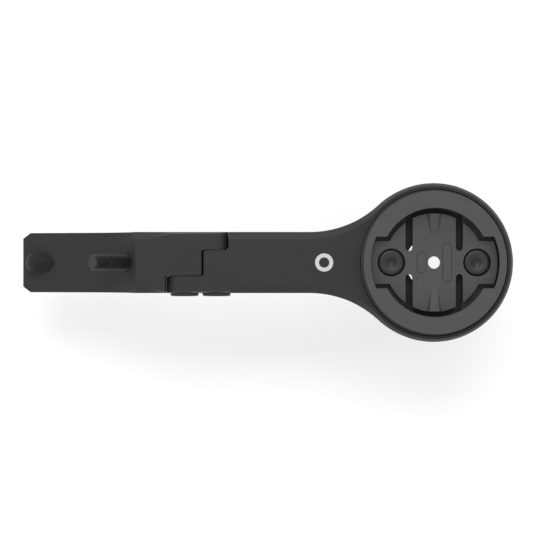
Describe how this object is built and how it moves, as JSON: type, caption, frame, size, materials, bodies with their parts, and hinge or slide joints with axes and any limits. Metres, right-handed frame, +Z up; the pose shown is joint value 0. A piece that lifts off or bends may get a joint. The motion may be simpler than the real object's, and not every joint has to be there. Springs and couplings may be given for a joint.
{
  "type": "cycling computer mount",
  "caption": "Out-front handlebar mount: a tilting two-part arm with a round quarter-turn socket for a cycling computer.",
  "frame": {"origin": "on the axis of the computer's quarter-turn socket, level with the socket's top face", "axes": "+X forwards along the arm towards the socket, +Z up along the socket's axis, +Y to the left"},
  "size_m": [0.1213, 0.0386, 0.0254],
  "materials": {
    "arm_nylon": "fine matte moulded, black",
    "socket_nylon": "fine matte moulded, dark grey",
    "black_screw": "black oxide, satin",
    "washer_steel": "zinc plated, satin",
    "bush_brass": "machined"
  },
  "bodies": {
    "bracket": {"rear_bracket": "arm_nylon", "pivot_screw": "black_screw", "clamp_screw": "black_screw", "pivot_bush": "bush_brass", "clamp_bush": "bush_brass", "mount_bolt": "black_screw", "mount_bolt_washer": "washer_steel", "locating_peg": "arm_nylon"},
    "arm": {"front_arm": "arm_nylon", "quarter_turn_insert": "socket_nylon", "insert_screw_rear": "black_screw", "insert_screw_front": "black_screw", "insert_bush_rear": "bush_brass", "insert_bush_front": "bush_brass"}
  },
  "joints": [
    {"name": "arm_tilt", "type": "hinge", "parent": "bracket", "child": "arm", "pos_m": [-0.0608, 0, -0.0082], "axis": [0, 1, 0], "range_deg": [-5, 5]}
  ]
}
